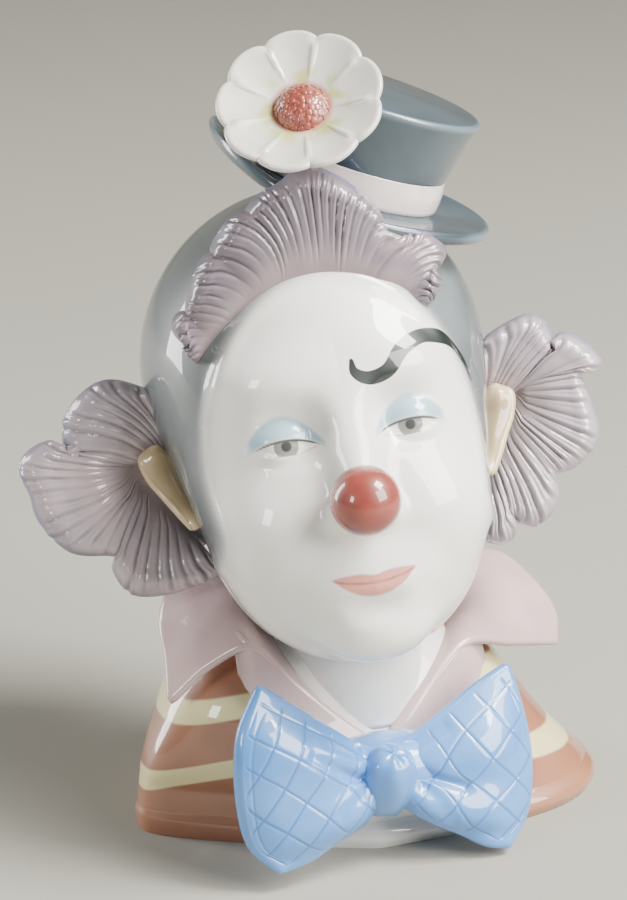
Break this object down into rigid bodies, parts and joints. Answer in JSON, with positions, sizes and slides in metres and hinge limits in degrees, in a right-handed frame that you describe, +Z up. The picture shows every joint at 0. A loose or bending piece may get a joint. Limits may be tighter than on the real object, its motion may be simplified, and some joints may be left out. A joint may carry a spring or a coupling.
{
  "type": "clown bust ornament",
  "caption": "Glazed porcelain head-and-shoulders bust of a clown with a tilted head, leaf-like frills, a small top hat with a flower, an open collar and a big bow tie.",
  "frame": {"origin": "centre of the flat underside, on the surface it stands on", "axes": "+Z up; the bust faces -Y and its left hand is at +X"},
  "size_m": [0.1996, 0.1627, 0.2755],
  "materials": {
    "glazed_porcelain": "gloss"
  },
  "bodies": {
    "root": {"clown_bust": "glazed_porcelain"}
  },
  "joints": []
}
